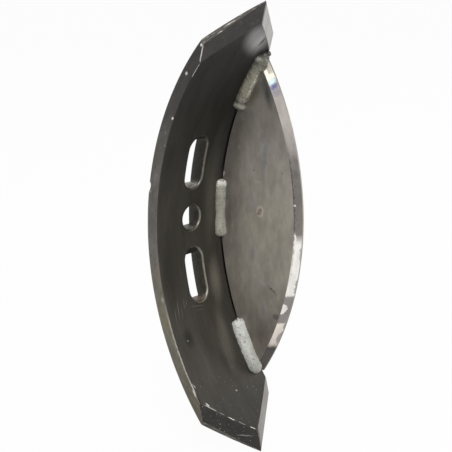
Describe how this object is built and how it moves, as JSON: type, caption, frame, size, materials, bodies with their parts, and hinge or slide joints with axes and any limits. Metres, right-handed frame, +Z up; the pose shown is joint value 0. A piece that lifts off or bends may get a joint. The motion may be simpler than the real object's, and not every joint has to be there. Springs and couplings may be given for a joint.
{
  "type": "cultivator share",
  "caption": "Bowed reversible steel share with V points ground at both ends, slotted bolt holes and a lens-shaped side knife welded to its concave face.",
  "frame": {"origin": "on the axis of the round centre hole, in the bar's convex back face", "axes": "+Z up the share along its length, +X across its width towards the side knife, -Y out of the concave working face"},
  "size_m": [0.05, 0.0574, 0.2224],
  "materials": {
    "bar_steel": "hot-rolled spring steel with mill scale, points ground bright",
    "knife_steel": "hot-rolled plate, heat-tinted, with a bright ground edge",
    "weld_metal": "as-laid weld bead with fine slag pits"
  },
  "bodies": {
    "root": {"share_bar": "bar_steel", "side_knife": "knife_steel", "weld_upper": "weld_metal", "weld_middle": "weld_metal", "weld_lower": "weld_metal"}
  },
  "joints": []
}
